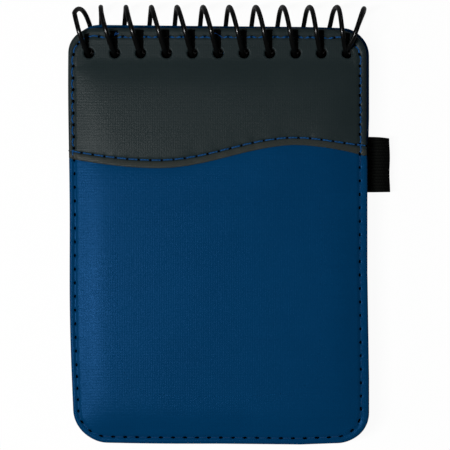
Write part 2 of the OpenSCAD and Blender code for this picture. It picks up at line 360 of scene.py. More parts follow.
def grid_faces(rows, columns):
    """Quads between the points of a grid, which are listed row by row."""
    return [(r * columns + i, r * columns + i + 1, (r + 1) * columns + i + 1, (r + 1) * columns + i)
            for r in range(rows - 1) for i in range(columns - 1)]


def blown_up(points, faces, held):
    """Heights of a sheet after it has been blown up, with the held points where they were."""
    mesh = bpy.data.meshes.new("pad_sheet")
    mesh.from_pydata([tuple(p) for p in points * cloth_scale], [], faces)
    sheet = bpy.data.objects.new("pad_sheet", mesh)
    bpy.context.scene.collection.objects.link(sheet)
    sheet.vertex_groups.new(name="held").add([int(i) for i in np.where(held)[0]], 1.0, "REPLACE")
    cloth = sheet.modifiers.new("cloth", "CLOTH")
    cloth.settings.vertex_group_mass = "held"
    cloth.settings.use_pressure = True
    cloth.settings.uniform_pressure_force = 9
    cloth.settings.effector_weights.gravity = 0
    cloth.point_cache.frame_end = cloth_steps
    for step in range(1, cloth_steps + 1):
        bpy.context.scene.frame_set(step)
    depsgraph = bpy.context.evaluated_depsgraph_get()
    blown = sheet.evaluated_get(depsgraph).to_mesh()
    heights = np.array([v.co.z for v in blown.vertices]) / cloth_scale
    bpy.data.objects.remove(sheet)
    bpy.data.meshes.remove(mesh)
    bpy.context.scene.frame_set(1)
    return heights


def blown_pad(cover):
    """Heights of the pad on a grid, in millimetres, with the places of its columns and rows."""
    xs = np.arange(pad_edges[0] - pad_gap, pad_edges[1] + pad_gap, pad_gap)
    ys = np.arange(pad_edges[2] - pad_gap, pad_edges[3] + pad_gap, pad_gap)
    x, y = (grid.ravel() for grid in np.meshgrid(xs, ys))
    depth = depth_inside(x, y, pad_edges, pad_radii)
    held = depth <= 0
    rise = 0.55 * pad_rise * (1 - (1 - grow(depth, 0, pad_run)) ** 2.2)
    if cover is front:
        on_wave = np.abs(y - wave_seam_y(x)) < pad_gap * 0.6
        held |= on_wave
        rise[on_wave] *= 1.2
    heights = blown_up(np.column_stack([x, y, rise]), grid_faces(len(ys), len(xs)), held)
    over = (np.maximum(heights, 0) / pad_rise) ** cap_sharpness
    capped = heights / (1 + over) ** (1 / cap_sharpness)
    print(cover["name"], "pad rises", round(float(heights.max()), 2), "mm, capped at", pad_rise)
    return xs, ys, capped.reshape(len(ys), len(xs))


front["pad"] = blown_pad(front)
back["pad"] = blown_pad(back)

# %% [markdown]
# ## The shape of a padded cover
# The seam pulls a groove round the pad, each needle hole pulls a dimple, and the leather swells a little
# between them. All of this is one height over the cover, so that the leatherette, the band and the foam
# agree.

# %% Height of the padded cover
def crown(x, y, cover):
    """Height of the pad, read from the simulated grid between its four nearest points."""
    xs, ys, heights = cover["pad"]
    u = np.clip((x - xs[0]) / pad_gap, 0, len(xs) - 1.001)
    v = np.clip((y - ys[0]) / pad_gap, 0, len(ys) - 1.001)
    i, j = u.astype(int), v.astype(int)
    u, v = u - i, v - j
    low = heights[j, i] * (1 - u) + heights[j, i + 1] * u
    high = heights[j + 1, i] * (1 - u) + heights[j + 1, i + 1] * u
    return low * (1 - v) + high * v


def nearest(x, y, needles, reach=1.2):
    """Distance from each point to the nearest needle hole, or reach if none is that near."""
    found = np.full(len(x), reach)
    for nx, ny in needles:
        near = (np.abs(x - nx) < reach) & (np.abs(y - ny) < reach)
        found[near] = np.minimum(found[near], np.hypot(x[near] - nx, y[near] - ny))
    return found


def groove(across, needle_distance, deep=0.15, wide=0.5):
    """What a seam does to the height: a groove, a dimple at each needle hole, and a swelling beside."""
    pull = deep * np.exp(-(across / wide) ** 2)
    dimple = 0.16 * np.exp(-(needle_distance / 0.4) ** 2)
    swell = 0.05 * np.exp(-((across - 0.9) / 0.6) ** 2) * np.clip(needle_distance / 1.2, 0, 1)
    return swell - pull - dimple


def cover_height(x, y, cover, dimples=True):
    """Height of a cover's leatherette over its inner face."""
    needles = cover["needles"] if dimples else []
    across = depth_inside(x, y, seam_edges, seam_radii)
    rim = 0.06 * grow(across, 0, -0.9) * grow(depth_inside(x, y, sides, corner_r), 0, 1.2)
    return case_t + crown(x, y, cover) + rim + groove(across, nearest(x, y, needles))


def band_height(x, y):
    """Height of the band's face: it lies on the leatherette and has the wave's seam as well."""
    across = np.abs(y - wave_seam_y(x))
    return (cover_height(x, y, front) + layer_gap + band_t
            + groove(across, nearest(x, y, band_needles), 0.09, 0.4))


spot = np.zeros(1), np.array([-60.0])
print("heights mid-cover:", *(cover_height(*spot, cover).round(2) for cover in (front, back)), "mm")

# %% [markdown]
# ## A face with holes
# A cover's face needs fine mesh at the seam, coarse mesh in the middle and eleven round holes. A grid
# can't give that, but a Delaunay triangulation can: it joins any scatter of points, and keeps the lines
# that it is told to keep.

# %% Triangulation
def holes_at(radius, count=28):
    """A ring of points round each binding hole."""
    angles = np.linspace(0, 2 * math.pi, count, endpoint=False)
    circle = radius * np.stack([np.cos(angles), np.sin(angles)], 1)
    return [circle + [x, 0] for x in hole_xs]


def clear_of_holes(points, gap=0.3):
    far = np.ones(len(points), bool)
    for x in hole_xs:
        far &= np.hypot(points[:, 0] - x, points[:, 1]) > hole_r + gap
    return points[far]


def triangulated(loops, seeds):
    """Points and triangles inside the first loop and outside the others."""
    points = np.vstack(loops + [seeds])
    lines, start = [], 0
    for loop in loops:
        lines += [(start + i, start + (i + 1) % len(loop)) for i in range(len(loop))]
        start += len(loop)
    found, _, faces, origins, _, _ = delaunay_2d_cdt([tuple(p) for p in points], lines, [], 1, 1e-6)
    found = np.array([tuple(p) for p in found])
    faces = np.array(faces)
    middle = found[faces].mean(1)
    keep = np.ones(len(faces), bool)
    for x in hole_xs:
        keep &= np.hypot(middle[:, 0] - x, middle[:, 1]) > hole_r * 0.999  # drops the holes' own faces
    a, b, c = (found[faces[:, i]] for i in range(3))
    turn = (b[:, 0] - a[:, 0]) * (c[:, 1] - a[:, 1]) - (b[:, 1] - a[:, 1]) * (c[:, 0] - a[:, 0])
    faces[turn < 0] = faces[turn < 0][:, ::-1]
    index = {source: new for new, group in enumerate(origins) for source in group}
    return found, faces[keep], index


def face_seeds():
    """Points close together round the seam, and further apart inside it."""
    outside = [[roll_r + share * (inset - roll_r) for inset in seam_insets]
               for share in (0.3, 0.55, 0.75, 0.9, 1)]
    inside = [[inset + more for inset in seam_insets] for more in (0.15, 0.3, 0.5, 0.8, 1.15, 1.6, 2.2)]
    rings = [inset_outline(insets, 0.4) for insets in outside + inside]
    gap = 1.3
    xs = np.arange(sides[0], sides[1], gap)
    ys = np.arange(sides[2], sides[3], gap * 0.87)
    gx, gy = np.meshgrid(xs, ys)
    gx[1::2] += gap / 2
    grid = np.stack([gx.ravel(), gy.ravel()], 1)
    grid = grid[depth_inside(grid[:, 0], grid[:, 1], seam_edges, seam_radii) > 2.9]
    return clear_of_holes(np.vstack(rings + [grid] + holes_at(hole_r + 0.45)))


def joined_rings(rings, first_index, start, closed=True):
    """Quads from a face's edge, whose vertices first_index gives, through rings added after start."""
    count = len(rings[0])
    faces = []
    before = list(first_index)
    for r in range(len(rings)):
        ring = list(range(start + r * count, start + (r + 1) * count))
        for i in range(count if closed else count - 1):
            j = (i + 1) % count
            faces.append((before[j], before[i], ring[i], ring[j]))
        before = ring
    return faces


print("a face starts from", len(face_seeds()), "scattered points")

# %% [markdown]
# ## Materials: the tools
# A finish is a small program of nodes. One function makes any node, with its settings first and then its
# sockets, and a small class lets sums on sockets be written as plain Python sums.

# %% Node helpers
def put(tree, kind, settings=None, inputs=None):
    """Adds a node: its settings first, then the values or links of its sockets."""
    node = tree.nodes.new(kind)
    for name, value in (settings or {}).items():
        if name == "stops":
            ramp = node.color_ramp
            while len(ramp.elements) < len(value):
                ramp.elements.new(1)
            for element, (position, tone) in zip(ramp.elements, value):
                element.position = position
                element.color = (tone,) * 3 + (1,) if isinstance(tone, (int, float)) else tone + (1,)
        else:
            setattr(node, name, value)
    for name, value in (inputs or {}).items():
        socket = node.inputs[name]
        if isinstance(value, Field):
            value = value.socket
        if isinstance(value, bpy.types.NodeSocket):
            tree.links.new(value, socket)
        else:
            socket.default_value = value
    return node


class Field:
    """A socket's value, with Python's signs for sums on it."""

    def __init__(self, socket):
        self.socket = socket

    def of(self, operation, first, second=0.0):
        tree = self.socket.id_data
        node = put(tree, "ShaderNodeMath", {"operation": operation}, {0: first, 1: second})
        return Field(node.outputs[0])

    def __add__(self, other):
        return self.of("ADD", self, other)

    __radd__ = __add__

    def __mul__(self, other):
        return self.of("MULTIPLY", self, other)

    __rmul__ = __mul__

    def __sub__(self, other):
        return self.of("SUBTRACT", self, other)

    def __rsub__(self, other):
        return self.of("SUBTRACT", other, self)

    def __pow__(self, other):
        return self.of("POWER", self, other)

    def less(self, other):
        return self.of("LESS_THAN", self, other)

    def above(self, other):
        return self.of("GREATER_THAN", self, other)

    def sine(self):
        return self.of("SINE", self)

    def absolute(self):
        return self.of("ABSOLUTE", self)

    def wrapped(self, length):
        return self.of("FLOORED_MODULO", self, length)


# %% [markdown]
# ## Materials: a finish
# Every finish starts from the Principled shader and Object coordinates, so its grain keeps its size and
# its place on the piece. This class holds them, with a method for each kind of node that finishes share.

# %% Finish class
class Finish:
    """A material with a Principled shader, whose plain values are set on the shader's own sockets."""

    def __init__(self, name, **plain_values):
        self.material = bpy.data.materials.new(name)
        self.material.use_nodes = True
        self.tree = self.material.node_tree
        self.shader = self.tree.nodes["Principled BSDF"]
        for socket, value in plain_values.items():
            self.shader.inputs[socket.replace("_", " ")].default_value = value
        self.coords = put(self.tree, "ShaderNodeTexCoord").outputs["Object"]

    def node(self, kind, settings=None, inputs=None, out=0):
        return Field(put(self.tree, kind, settings, inputs).outputs[out])

    def noise(self, scale, detail=3, rough=0.55, stretch=None):
        """Noise whose lumps are 1/scale metres across, or longer where the stretch is under 1."""
        coords = self.coords
        if stretch:
            coords = put(self.tree, "ShaderNodeVectorMath", {"operation": "MULTIPLY"},
                         {0: coords, 1: stretch}).outputs[0]
        return self.node("ShaderNodeTexNoise", None,
                         {"Vector": coords, "Scale": scale, "Detail": detail, "Roughness": rough})

    def ramp(self, factor, *stops):
        return self.node("ShaderNodeValToRGB", {"stops": stops}, {"Fac": factor})

    def axis(self, name):
        return Field(put(self.tree, "ShaderNodeSeparateXYZ", None, {0: self.coords}).outputs[name])

    def mix(self, factor, first, second):
        node = put(self.tree, "ShaderNodeMix", {"data_type": "RGBA"})
        for socket, value in ((node.inputs[0], factor), (node.inputs[6], first), (node.inputs[7], second)):
            if isinstance(value, Field):
                self.tree.links.new(value.socket, socket)
            else:
                socket.default_value = value
        return Field(node.outputs[2])

    def feed(self, socket, value):
        self.tree.links.new(value.socket, self.shader.inputs[socket])

    def bump(self, height, strength, distance):
        bumped = self.node("ShaderNodeBump", None,
                           {"Height": height, "Strength": strength, "Distance": distance * MM})
        self.feed("Normal", bumped)


def shade(red, green, blue):
    return (red, green, blue, 1)


def attribute(finish, name):
    """A value that a piece's mesh keeps at each of its points."""
    return Field(put(finish.tree, "ShaderNodeAttribute", {"attribute_name": name}).outputs["Fac"])


def cycles(way, length):
    """A sine along a way over the piece, with one turn to each length in metres."""
    return (way * (2 * math.pi / length)).sine()


# %% [markdown]
# ## The wire's painted shadow
# A dark, dull streak is painted on the band from each binding hole to the rim, as painted shadow of the
# wire. The streak has a straight right side and a left side that slants with the wire. Each side is one
# comparison, and their product is 1 inside the streak and 0 elsewhere.

# %% Painted shadow of the wire
def from_nearest_hole(x):
    """How far a place on a cover lies to the right of its nearest binding hole, in metres."""
    return (x + (hole_count / 2 * pitch) * MM).wrapped(pitch * MM) - pitch / 2 * MM


def painted_wire_shadow(finish):
    """1 in the painted shadow of the wire on the band, and 0 elsewhere."""
    x = finish.axis("X") - front["at"][0] * MM
    y = finish.axis("Y") - front["at"][1] * MM
    across = from_nearest_hole(x)
    wobble = finish.noise(400, 2) * 0.0003 - 0.00015
    near_end = (x * x * (1 / 0.0383 ** 2)) ** 4
    left = across + 0.0009 + y * 0.115
    right = 0.00078 - x.less(-0.034) * 0.0009 + wobble - across
    top = 0.00695 - near_end * 0.001 + wobble - y
    return left.above(0.0) * right.above(0.0) * y.above(0.0) * top.above(0.0) * near_end.less(1.6)


# %% [markdown]
# ## Leatherette
# Both colours are the same cloth-backed plastic: a satin film that shows a fine linen grain and a little
# mottle in its colour. Two crossed sets of threads make the grain. The band is paler in the strip below
# its seam, and carries the wire's painted shadow: near black and dull.

# %% Leatherette
# painted shadow of the wire, nearly black
wire_shadow_black = shade(0.0006, 0.0008, 0.0008)
pale_strip = shade(0.0245, 0.0285, 0.0262)


def leatherette(name, deep, light, gloss, shine, tint, with_wire_shadow=False):
    """A satin film between two colours; gloss is its roughness and shine how much it reflects."""
    finish = Finish(name, Roughness=gloss, Specular_IOR_Level=shine, Specular_Tint=shade(*tint))
    x, y = finish.axis("X"), finish.axis("Y")
    wander = finish.noise(900, 2) * 0.9
    weft = (x * (2 * math.pi / 0.00052) + wander).sine()  # a thread each 0.52 mm, and of the warp 0.47
    warp = (y * (2 * math.pi / 0.00047) + wander).sine()
    streaks = finish.noise(900, 3, 0.65, (0.06, 1, 1))
    grain = weft * 0.26 + warp * 0.24 + finish.noise(1300, 6, 0.75) * 2.6 + streaks * 1.3
    mottle = finish.noise(46, 5, 0.6)
    colour = finish.mix(finish.ramp(mottle * 0.4 + grain * 0.11, (0.2, 0.0), (0.7, 1.0)),
                        shade(*deep), shade(*light))
    if with_wire_shadow:
        # painted shadow of the wire on the band, which is also made dull; the paler strip below the seam follows
        wire_shadow = painted_wire_shadow(finish)
        colour = finish.mix(wire_shadow, colour, wire_shadow_black)
        strip = finish.ramp(attribute(finish, "above_wave") * 0.5, (0.8, 1.0), (1.0, 0.0))
        colour = finish.mix(strip, colour, pale_strip)
    finish.feed("Base Color", colour)
    satin = finish.noise(70, 4) * 0.1 + (gloss - 0.05)
    finish.feed("Roughness", satin * (1 - wire_shadow) + wire_shadow * 0.95 if with_wire_shadow else satin)
    finish.bump(grain, 0.55, 0.03)
    return finish.material


blue_leatherette = leatherette(
    "blue_leatherette", deep=(0.0004, 0.0262, 0.079), light=(0.0009, 0.0375, 0.11),
    gloss=0.26, shine=0.08, tint=(0.1, 0.38, 1.0))
charcoal_band = leatherette(
    "charcoal_leatherette", deep=(0.0105, 0.0169, 0.0181), light=(0.016, 0.0239, 0.0255),
    gloss=0.32, shine=0.055, tint=(0.95, 1.0, 1.0), with_wire_shadow=True)
print("leatherettes:", blue_leatherette.name, "and", charcoal_band.name)

# %% [markdown]
# ## Thread, needle holes and wire
# The thread is two plies twisted together, which shows as slanting stripes. The thread drawn into the blue
# leatherette is a darker copy, painted shade of its groove, and thread turns dark in the wire's painted
# shadow. The wire has a black coat that is nearly a mirror. The needle holes hold only shadow.

# %% Thread, holes and wire
def thread_finish(name, deep, light, with_wire_shadow=True):
    finish = Finish(name, Roughness=0.6, Specular_IOR_Level=0.1)
    plies = attribute(finish, "along") * 5 + attribute(finish, "around")
    twist = cycles(plies, 1) * 0.5 + 0.5
    fray = finish.noise(5000, 3)
    colour = finish.mix(twist * 0.6 + fray * 0.4, shade(*deep), shade(*light))
    if with_wire_shadow:
        # painted shadow of the wire on the thread
        colour = finish.mix(painted_wire_shadow(finish), colour, shade(0.0008, 0.001, 0.001))
    finish.feed("Base Color", colour)
    finish.bump(twist + fray * 0.4, 0.5, 0.05)
    return finish.material


def needle_hole_finish():
    finish = Finish("needle_hole", Roughness=0.9, Specular_IOR_Level=0.0)
    finish.feed("Base Color", finish.mix(finish.noise(4000), shade(0.0002, 0.0003, 0.0005),
                                         shade(0.0008, 0.001, 0.0015)))
    return finish.material


def wire_finish():
    finish = Finish("black_coated_wire", Roughness=0.25, Specular_IOR_Level=0.2)
    finish.feed("Base Color", finish.mix(finish.noise(300), shade(0.0012, 0.0014, 0.0014),
                                         shade(0.003, 0.0033, 0.0033)))
    finish.feed("Roughness", finish.noise(900, 4) * 0.12 + 0.14)
    finish.bump(finish.noise(1500, 3), 0.12, 0.03)
    return finish.material


blue_thread = thread_finish("blue_thread", (0.001, 0.022, 0.08), (0.003, 0.078, 0.25))
loose_thread = thread_finish("loose_blue_thread", (0.001, 0.02, 0.09), (0.003, 0.07, 0.28), with_wire_shadow=False)
# a darker copy of the blue thread: painted shade of the groove it is drawn into
shaded_sunk_thread = thread_finish("shaded_sunk_blue_thread", (0.0008, 0.018, 0.06), (0.002, 0.045, 0.14))
needle_hole = needle_hole_finish()
coated_wire = wire_finish()
print("finishes for three threads, the needle holes and the wire")

# %% [markdown]
# ## Elastic
# The pen loop is woven elastic. Fine ribs run along it, side by side across its width, and each rib
# shows the small steps where the weft passes over the rubber threads.

# %% Elastic
rib = 0.0009  # width of a rib, in metres
weft_step = 0.00055


def elastic_finish():
    finish = Finish("black_elastic", Roughness=0.8, Specular_IOR_Level=0.04)
    x, y, z = (finish.axis(name) for name in "XYZ")
    ribs = cycles(y, rib)
    steps = ((x + z) * (2 * math.pi / weft_step) + cycles(y, 2 * rib) * 2).sine()
    weave = ribs * 0.5 + steps * 0.35 + finish.noise(4000) * 0.5
    finish.feed("Base Color", finish.mix(finish.ramp(weave, (0.0, 0.0), (1.0, 1.0)),
                                         shade(0.0009, 0.0012, 0.001), shade(0.0038, 0.0042, 0.0036)))
    finish.bump(weave, 0.6, 0.12)
    return finish.material


black_elastic = elastic_finish()
print("elastic with a rib every", round(rib / MM, 2), "mm")

# %% [markdown]
# ## Cut edges and painted shade in the holes
# Where leatherette is cut, its dark backing shows. Paper and board are painted nearly black near each
# binding hole: painted shade inside the holes. A mask made from the distance to the nearest hole does that.

# %% Edges and hole walls
def cut_edge_finish():
    finish = Finish("cut_leatherette_edge", Roughness=0.85, Specular_IOR_Level=0.05)
    finish.feed("Base Color", finish.mix(finish.noise(1200, 4), shade(0.0015, 0.0018, 0.002),
                                         shade(0.006, 0.007, 0.008)))
    return finish.material


cut_edge = cut_edge_finish()
# painted shade in the binding holes: how far it reaches and its colour
hole_shade_r = 2.1  # round a binding hole
hole_shade_black = shade(0.004, 0.004, 0.004)


def painted_hole_shade(finish):
    """Painted shade in the binding holes: 1 near each hole, whose place follows the slant of the wire through the
    stack.
    """
    deep = front["at"][2] * MM - finish.axis("Z")
    x = finish.axis("X") - deep * 0.16 - front["at"][0] * MM
    y = finish.axis("Y") - (front["at"][1] - 0.3) * MM
    across = from_nearest_hole(x)
    return (across * across + y * y).less((hole_shade_r * MM) ** 2)


print("cut edges are", cut_edge.name, "and holes are dark within", hole_shade_r, "mm")

# %% [markdown]
# ## Paper, board, lining and foam
# The sheets carry a pale blue rule every 6.5 mm and a red one under the heading. The lining is a black
# embossed paper, the board a grey pulp with dark fibres, and the foam a mass of small cells.

# %% Paper, board, lining and foam
rule_gap = 0.0065  # in metres, as is the next
rule_w = 0.00022


def paper_finish(heading):
    """Ruled paper, with the heading's place along Y."""
    finish = Finish("ruled_paper", Roughness=0.85, Specular_IOR_Level=0.2)
    fibre = finish.noise(1400, 4)
    below = heading - finish.axis("Y")
    line = below.wrapped(rule_gap).less(rule_w) * below.above(0.0001)
    heading_line = (below + 0.0014).above(0) * (below + 0.0011).less(0)
    stock = finish.mix(fibre, shade(0.76, 0.75, 0.69), shade(0.86, 0.85, 0.79))
    ruled = finish.mix(line * 0.8, stock, shade(0.25, 0.42, 0.66))
    headed = finish.mix(heading_line * 0.8, ruled, shade(0.62, 0.16, 0.15))
    finish.feed("Base Color", finish.mix(painted_hole_shade(finish), headed, hole_shade_black))
    finish.feed("Roughness", fibre * 0.15 + 0.75)
    finish.bump(fibre, 0.2, 0.02)
    return finish.material


def board_finish():
    finish = Finish("grey_board", Roughness=0.9)
    pulp = finish.noise(700, 5, 0.7)
    stock = finish.ramp(pulp, (0.35, (0.2, 0.19, 0.17)), (0.62, (0.42, 0.4, 0.36)))
    finish.feed("Base Color", finish.mix(painted_hole_shade(finish), stock, hole_shade_black))
    finish.bump(pulp, 0.4, 0.05)
    return finish.material


def lining_finish():
    finish = Finish("black_lining_paper", Roughness=0.7, Specular_IOR_Level=0.3)
    x, y = finish.axis("X"), finish.axis("Y")
    emboss = cycles(x + y, 0.0011) * cycles(x - y, 0.0011)
    grain = emboss * 0.4 + finish.noise(2200, 3)
    finish.feed("Base Color", finish.mix(finish.noise(300, 4), shade(0.012, 0.013, 0.014),
                                         shade(0.024, 0.025, 0.027)))
    finish.feed("Roughness", grain * 0.12 + 0.6)
    finish.bump(grain, 0.3, 0.04)
    return finish.material


def foam_finish():
    finish = Finish("white_foam", Roughness=0.95, Specular_IOR_Level=0.1)
    cells = finish.node("ShaderNodeTexVoronoi", None, {"Vector": finish.coords, "Scale": 1500})
    finish.feed("Base Color", finish.ramp(cells, (0.0, (0.45, 0.44, 0.4)), (0.6, (0.8, 0.79, 0.73))))
    finish.bump(cells, 0.7, 0.2)
    return finish.material


heading_margin = 21
ruled_paper = paper_finish((box("leaf_1")[1][1] - heading_margin) * MM)
grey_board = board_finish()
lining_paper = lining_finish()
white_foam = foam_finish()


def finish_node(name, material):
    """Gives a CAD node its finish."""
    node = frame["nodes"][name]
    if not node.material_slots:
        node.data.materials.append(material)
    for material_slot in node.material_slots:
        material_slot.material = material


leaf_count = sum(name.startswith("leaf_") for name in frame["nodes"])
for n in range(1, leaf_count + 1):
    finish_node(f"leaf_{n}", ruled_paper)
finish_node("sheet_block", ruled_paper)
for cover in (front, back):
    finish_node(f"{cover['name']}_cover_lining", lining_paper)
print("paper on", leaf_count, "leaves and the block, and a lining in each cover")

# %% [markdown]
# ## The leatherette of a cover
# One piece of leatherette covers the face, rolls over the edge of the board and is turned in as a hem.
# The face is the triangulated one. Rings continue it over the edge, and Solidify gives it its wall.

# %% Leatherette skins
# Way over the edge and in along the hem: distance in from the edge, and height
roll = [(0.27, 1.33), (0.08, 1.12), (0.0, 0.8), (0.0, 0.55), (0.08, 0.27), (0.27, 0.07), (0.55, 0.0),
        (2.0, 0.0), (3.5, 0.02), (hem_w, 0.0)]


def under_band(points):
    """Draws the blue leatherette in by a hair where the band is wrapped round it."""
    x, y, z = points.T
    banded = np.clip((y - wave_y(x)) / 0.5, 0, 1)
    edge = np.clip(1 - depth_inside(x, y, sides, corner_r) / 1.2, 0, 1)
    points[:, 0] -= np.sign(x) * 0.22 * banded * edge * (np.abs(x) > cover_w / 2 - corner_r[1])
    points[:, 1] -= 0.22 * banded * edge * (y > 0)
    points[:, 2] += 0.06 * banded * (z < 0.3)
    return points


def clear_of_wire(ring, clear_r=hole_r + 0.3):
    """The hem's edge goes round the binding holes, through which the wire must pass."""
    out = ring.copy()
    for x in hole_xs:
        from_hole = out - [x, 0]
        far = np.linalg.norm(from_hole, axis=1)
        near = far < clear_r
        out[near] = [x, 0] + from_hole[near] * (clear_r / far[near])[:, None]
    return out


def leather_skin(cover):
    outer = inset_outline((roll_r,) * 4)
    flat, faces, index = triangulated([outer] + holes_at(hole_r + 0.12), face_seeds())
    face = np.column_stack([flat, cover_height(flat[:, 0], flat[:, 1], cover)])
    rings = [np.column_stack([clear_of_wire(inset_outline((inset,) * 4)), np.full(len(outer), height)])
             for inset, height in roll]
    points = np.vstack([face] + rings)
    if cover is front:
        points = under_band(points)
    edge = joined_rings(rings, [index[i] for i in range(len(outer))], len(face))
    name = f"{cover['name']}_leatherette"
    skin = made_object(name, place(points, cover), list(map(tuple, faces)) + edge, blue_leatherette,
                       flip=cover is back)
    thickened(skin, skin_t, cut_edge)
    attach(skin, cover["body"])
    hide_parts(f"{cover['name']}_cover_skin")
    print(name, len(skin.data.polygons), "faces")
    return skin


front_skin = leather_skin(front)
back_skin = leather_skin(back)

# %% [markdown]
# ## The band
# The band is a second layer, laid on the blue one before sewing, so it follows every rise and groove
# below it and is turned in at the cover's edges too. Only its lower edge is cut, in the wave.

# %% Band
band_wall = 0.2


def mark_strip(band):
    """Keeps how far each point lies above the wave, for the paler strip below the seam."""
    points = np.zeros(len(band.data.vertices) * 3, np.float32)
    band.data.vertices.foreach_get("co", points)
    points = points.reshape(-1, 3) / MM - front["at"]
    above = points[:, 1] - wave_y(points[:, 0])
    band.data.attributes.new("above_wave", "FLOAT", "POINT").data.foreach_set("value", above)


def band_rim(outer):
    """Which points of a cover's outline the band covers, from the wave's right end round to its left."""
    order = np.where(outer[:, 1] > wave_y(outer[:, 0]))[0]
    gap = np.where(np.diff(order) > 1)[0]
    return np.concatenate([order[gap[0] + 1:], order[:gap[0] + 1]])


def band_seeds():
    """The face's points above the wave's seam, and rows that follow the wave below it."""
    seeds = face_seeds()
    x = np.linspace(sides[0] + 1.2, sides[1] - 1.2, 260)
    rows = [np.stack([x, wave_y(x) + up], 1)
            for up in (0.14, 0.6, 1.2, 1.7, 2.0, 2.25, 2.45, 2.65, 2.9, 3.15)]
    return np.vstack([seeds[seeds[:, 1] > wave_y(seeds[:, 0]) + 3.3]] + rows)


def band_piece():
    outer = inset_outline((roll_r,) * 4)
    order = band_rim(outer)
    rim = outer[order]
    xs = np.linspace(rim[-1, 0], rim[0, 0], 240)[1:-1]
    wave = np.stack([xs, wave_y(xs)], 1)
    flat, faces, index = triangulated([np.vstack([rim, wave])] + holes_at(hole_r), band_seeds())
    height = band_height(flat[:, 0], flat[:, 1])
    height -= 0.09 * (flat[:, 1] - wave_y(flat[:, 0]) < 0.05)  # the cut edge is a little rounded
    face = np.column_stack([flat, height])
    rings = []
    for inset, z in roll:
        ring = inset_outline((inset,) * 4)[order]
        lift = (layer_gap + band_t) * max(0.0, (z - 0.6) / (case_t - 0.6))
        rings.append(np.column_stack([ring, np.full(len(ring), z + lift)]))
    edge = joined_rings(rings, [index[i] for i in range(len(rim))], len(face), closed=False)
    band = made_object("wave_edged_band", place(np.vstack([face] + rings), front),
                       list(map(tuple, faces)) + edge, charcoal_band)
    thickened(band, band_wall, cut_edge)
    mark_strip(band)
    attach(band, "front_cover")
    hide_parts("front_cover_band")
    print("band", len(band.data.polygons), "faces")
    return band


wave_band = band_piece()

# %% [markdown]
# ## Boards
# Each cover is stiffened by a plate of grey board with the binding holes punched in it. The back one is
# cut away where the ends of the pen loop are sewn in. The flat plate gets its thickness from Solidify.

# %% Boards
notch_depth = 8.2  # from the cover's edge, past the ends of the pen loop


def board_piece(cover):
    outline = inset_outline((skin_t + 0.03,) * 4, 0.8)
    if cover is back:
        low_y, high_y = (corner[1] - back["at"][1] for corner in box("pen_loop"))
        notch = (outline[:, 1] > low_y - 1) & (outline[:, 1] < high_y + 0.3) & (outline[:, 0] > 0)
        outline[notch, 0] = cover_w / 2 - notch_depth
    flat, faces, _ = triangulated([outline] + holes_at(hole_r), np.zeros((0, 2)))
    points = np.column_stack([flat, np.full(len(flat), skin_t + layer_gap + board_t)])
    board = made_object(f"{cover['name']}_board", place(points, cover), faces, grey_board,
                        flip=cover is back)
    board.data.shade_flat()
    thickened(board, board_t)
    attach(board, cover["body"])
    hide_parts(f"{cover['name']}_cover_board")
    print(board.name, len(board.data.polygons), "faces")
    return board


front_board = board_piece(front)
back_board = board_piece(back)

# %% [markdown]
# ## Foam pads
# A pad of foam lies between the board and the leatherette and gives the crown its shape. It is a closed
# cushion: a flat base, a rounded edge and the same crown as above, a leather's thickness lower.

# %% Foam pads
foam_margin = 1.1  # from the pad's edge on the leatherette
foam_levels = (0, 0.25, 0.7, 1.4, 2.4, 3.8, 5.5, 7.5, 10, 13, 17, 23, 30, 38)  # insets of its rings


def foam_ring(level, cover):
    """One ring of the pad's upper side."""
    inset = foam_margin + level
    left, right, foot, top = pad_edges
    radii = [max(r - inset, 0.5) for r in pad_radii]
    ring = rounded((left + inset, right - inset, foot + inset, top - inset), radii, 2.5, 10)
    height = cover_height(*ring.T, cover, dimples=False) - skin_t - 0.06
    if level == 0:
        height[:] = case_t - skin_t + 0.02
    return np.column_stack([ring, height])


def foam_pad(cover):
    rings = [foam_ring(level, cover) for level in foam_levels]
    base = rings[0].copy()
    base[:, 2] = case_t - skin_t - 0.01
    points = np.vstack([base] + rings)
    count = len(base)
    faces = []
    for r in range(len(rings)):
        for i in range(count):
            j = (i + 1) % count
            faces.append((r * count + i, r * count + j, (r + 1) * count + j, (r + 1) * count + i))
    faces.append(tuple(range(len(rings) * count, (len(rings) + 1) * count)))
    faces.append(tuple(reversed(range(count))))
    pad = made_object(f"{cover['name']}_foam_pad", place(points, cover), faces, white_foam,
                      flip=cover is back)
    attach(pad, cover["body"])
    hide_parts(f"{cover['name']}_cover_foam")
    print(pad.name, len(faces), "faces")
    return pad


front_pad = foam_pad(front)
back_pad = foam_pad(back)

# %% [markdown]
# ## Trees of Geometry Nodes
# Stitches repeat along a seam and the wire follows a line, so Geometry Nodes make both. These helpers
# build an empty tree with named sizes, mark a value on a shape, and run a tree on a path.

# %% Tree helpers
def group_tree(name, sizes):
    """A Geometry Nodes group with named sizes, its input node and its output node."""
    tree = bpy.data.node_groups.new(name, "GeometryNodeTree")
    tree.interface.new_socket("Geometry", in_out="INPUT", socket_type="NodeSocketGeometry")
    for size, (kind, value) in sizes.items():
        socket = tree.interface.new_socket(size, in_out="INPUT", socket_type=kind)
        if value is not None:
            socket.default_value = value
    tree.interface.new_socket("Geometry", in_out="OUTPUT", socket_type="NodeSocketGeometry")
    return tree, tree.nodes.new("NodeGroupInput"), tree.nodes.new("NodeGroupOutput")


def marked(tree, shape, name, value, kind="FLOAT", domain="POINT"):
    """The shape with a value kept on it under a name."""
    store = put(tree, "GeometryNodeStoreNamedAttribute", {"data_type": kind, "domain": domain},
                {"Geometry": shape, "Name": name})
    tree.links.new(value, store.inputs["Value"])
    return store.outputs[0]


